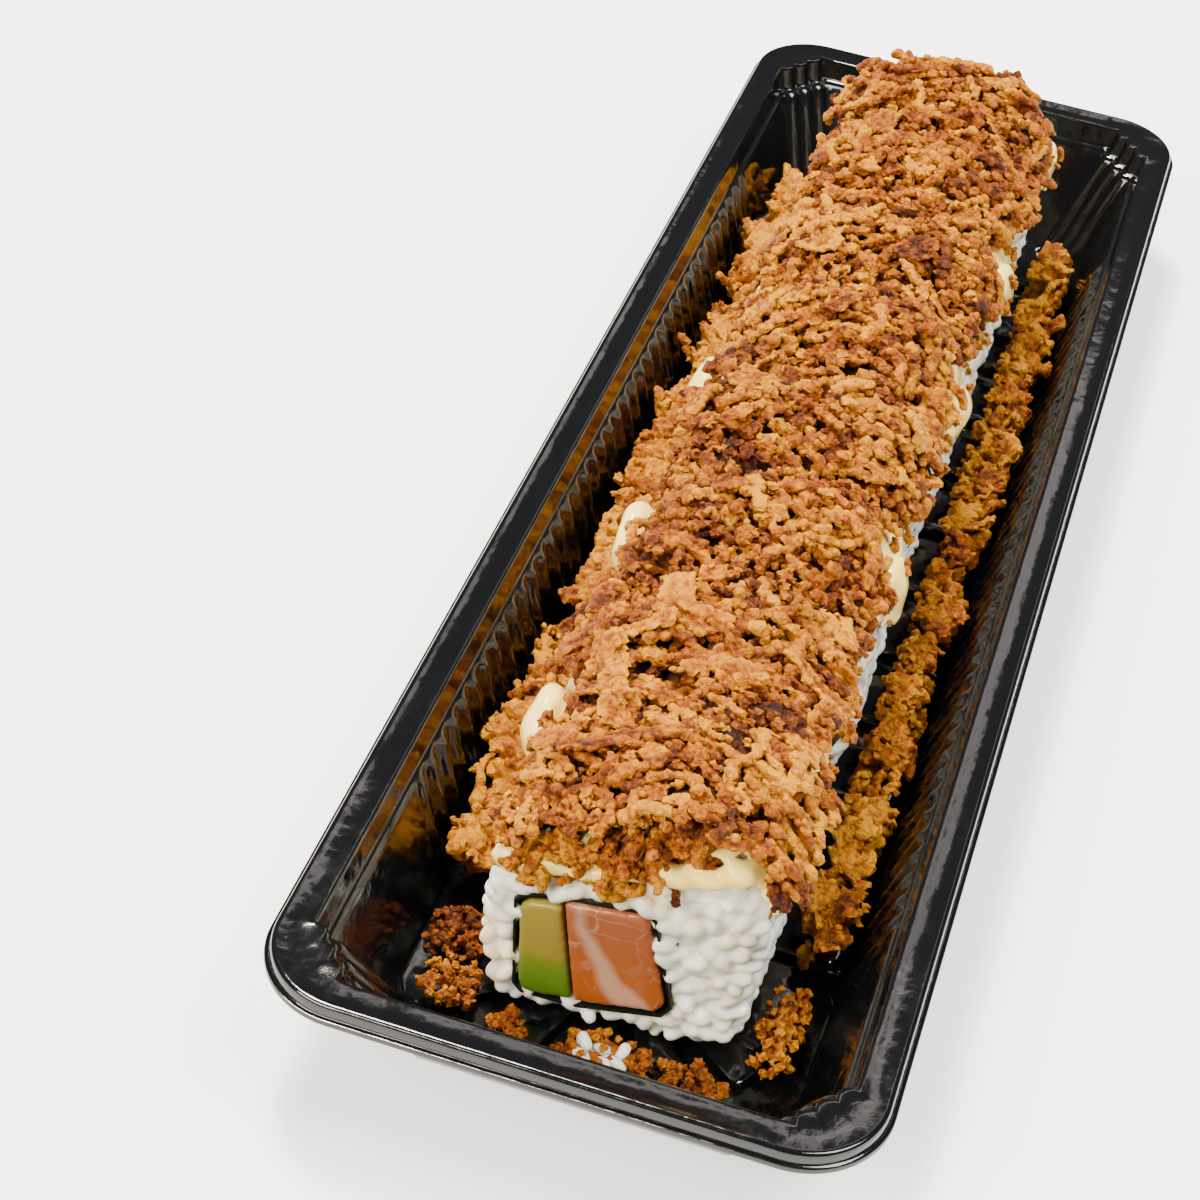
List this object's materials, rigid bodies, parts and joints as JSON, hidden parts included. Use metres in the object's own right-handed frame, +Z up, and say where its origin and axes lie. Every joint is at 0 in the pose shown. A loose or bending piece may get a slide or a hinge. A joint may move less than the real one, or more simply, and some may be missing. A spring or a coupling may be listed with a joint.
{
  "type": "takeaway tray of sliced sushi roll",
  "caption": "Long black takeaway tray holding a row of sliced rice roll with salmon and avocado, topped with mayonnaise and crisp fried onion, with loose onion crumbs beside it.",
  "frame": {"origin": "centre of the tray's bounding box at the underside of the tray, on the table", "axes": "+Z up out of the tray, +Y along the tray from the cut end of the roll that faces the viewer to the far end, +X across the tray to the viewer's right"},
  "size_m": [0.088, 0.284, 0.0513],
  "materials": {
    "tray_plastic": "gloss",
    "rice": "moist",
    "nori": "matte",
    "avocado": "soft",
    "salmon": "moist",
    "mayonnaise": "moist",
    "fried_onion": "crisp"
  },
  "bodies": {
    "root": {"avocado_1": "avocado", "avocado_2": "avocado", "avocado_3": "avocado", "avocado_4": "avocado", "avocado_5": "avocado", "avocado_6": "avocado", "avocado_7": "avocado", "avocado_8": "avocado", "mayonnaise": "mayonnaise", "nori_1": "nori", "nori_2": "nori", "nori_3": "nori", "nori_4": "nori", "nori_5": "nori", "nori_6": "nori", "nori_7": "nori", "nori_8": "nori", "onion_front_1": "fried_onion", "onion_front_2": "fried_onion", "onion_front_3": "fried_onion", "onion_front_4": "fried_onion", "onion_front_5": "fried_onion", "onion_front_6": "fried_onion", "onion_left": "fried_onion", "onion_right": "fried_onion", "onion_top": "fried_onion", "rice_1": "rice", "rice_2": "rice", "rice_3": "rice", "rice_4": "rice", "rice_5": "rice", "rice_6": "rice", "rice_7": "rice", "rice_8": "rice", "salmon_1": "salmon", "salmon_2": "salmon", "salmon_3": "salmon", "salmon_4": "salmon", "salmon_5": "salmon", "salmon_6": "salmon", "salmon_7": "salmon", "salmon_8": "salmon", "tray": "tray_plastic"}
  },
  "joints": []
}
